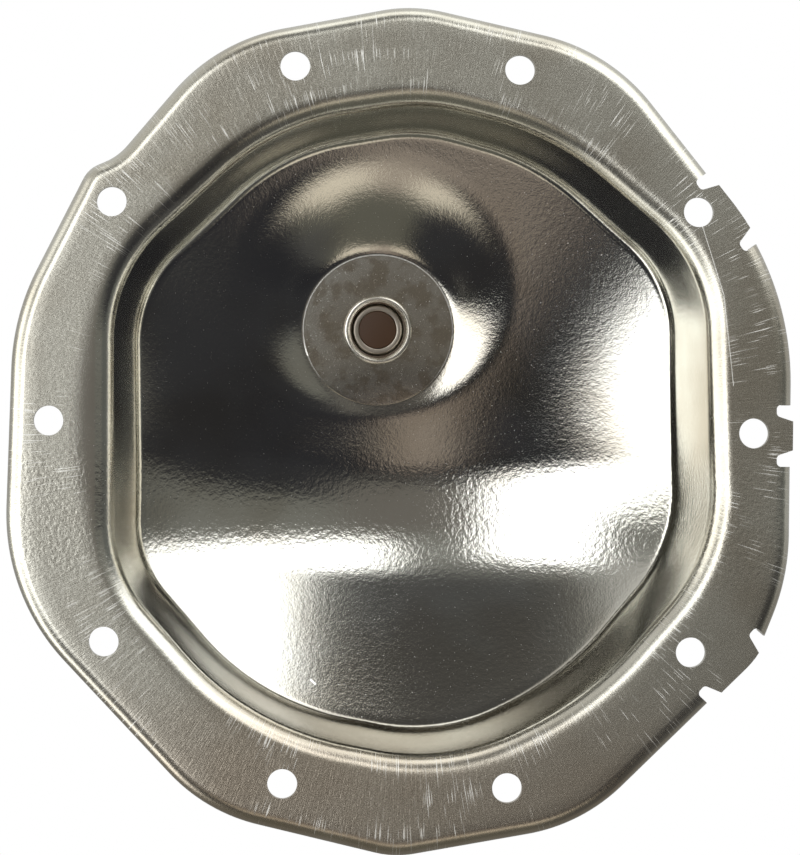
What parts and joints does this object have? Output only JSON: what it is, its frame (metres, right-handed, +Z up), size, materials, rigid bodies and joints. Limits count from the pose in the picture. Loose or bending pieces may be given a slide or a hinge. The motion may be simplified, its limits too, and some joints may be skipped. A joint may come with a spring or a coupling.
{
  "type": "differential cover",
  "caption": "Pressed steel differential cover seen as a domed pan with a rolled-rim bolt flange, three notched tabs and a fill boss with bung and plug.",
  "frame": {"origin": "centre of the ten bolt pattern, on the gasket face", "axes": "+Z up as installed, -Y out of the gasket face towards the axle housing, +Y out of the dome, +X to the right when looking into the pan"},
  "size_m": [0.2529, 0.0786, 0.2727],
  "materials": {
    "zinc_steel": "satin zinc plated pressing with draw scratches",
    "bung_steel": "bright turned",
    "plug_steel": "turned and plated",
    "magnet": "dark brown sintered face",
    "seal_rubber": "matt"
  },
  "bodies": {
    "root": {"cover_shell": "zinc_steel", "fill_bung": "bung_steel", "fill_plug": "plug_steel", "plug_magnet": "magnet", "plug_seal": "seal_rubber"}
  },
  "joints": []
}
